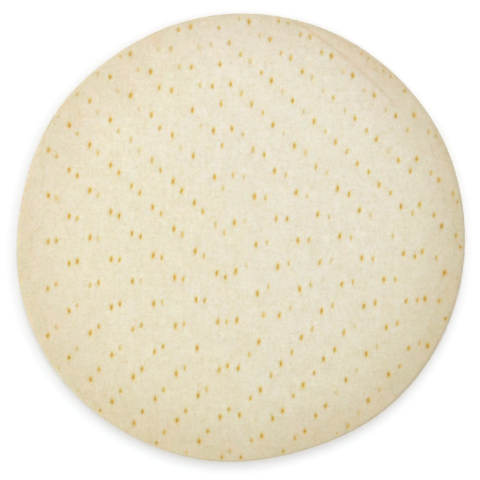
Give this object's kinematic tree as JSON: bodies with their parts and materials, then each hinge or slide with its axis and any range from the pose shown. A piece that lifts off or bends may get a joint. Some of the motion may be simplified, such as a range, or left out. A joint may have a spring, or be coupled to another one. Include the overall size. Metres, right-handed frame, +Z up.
{
  "type": "pizza crust",
  "caption": "Round flat par-baked pizza crust with rows of small docking holes on top, a soft rounded edge and a faint crease.",
  "frame": {"origin": "middle of the underside, at the centre of the crust's bounding box", "axes": "+Z up through the crust's thickness, out of the docked top; +Y the way the rows of docking holes run; +X to the right of it seen from above"},
  "size_m": [0.3042, 0.3046, 0.009],
  "materials": {
    "baked_dough": "matte"
  },
  "bodies": {
    "root": {"pizza_crust": "baked_dough"}
  },
  "joints": []
}
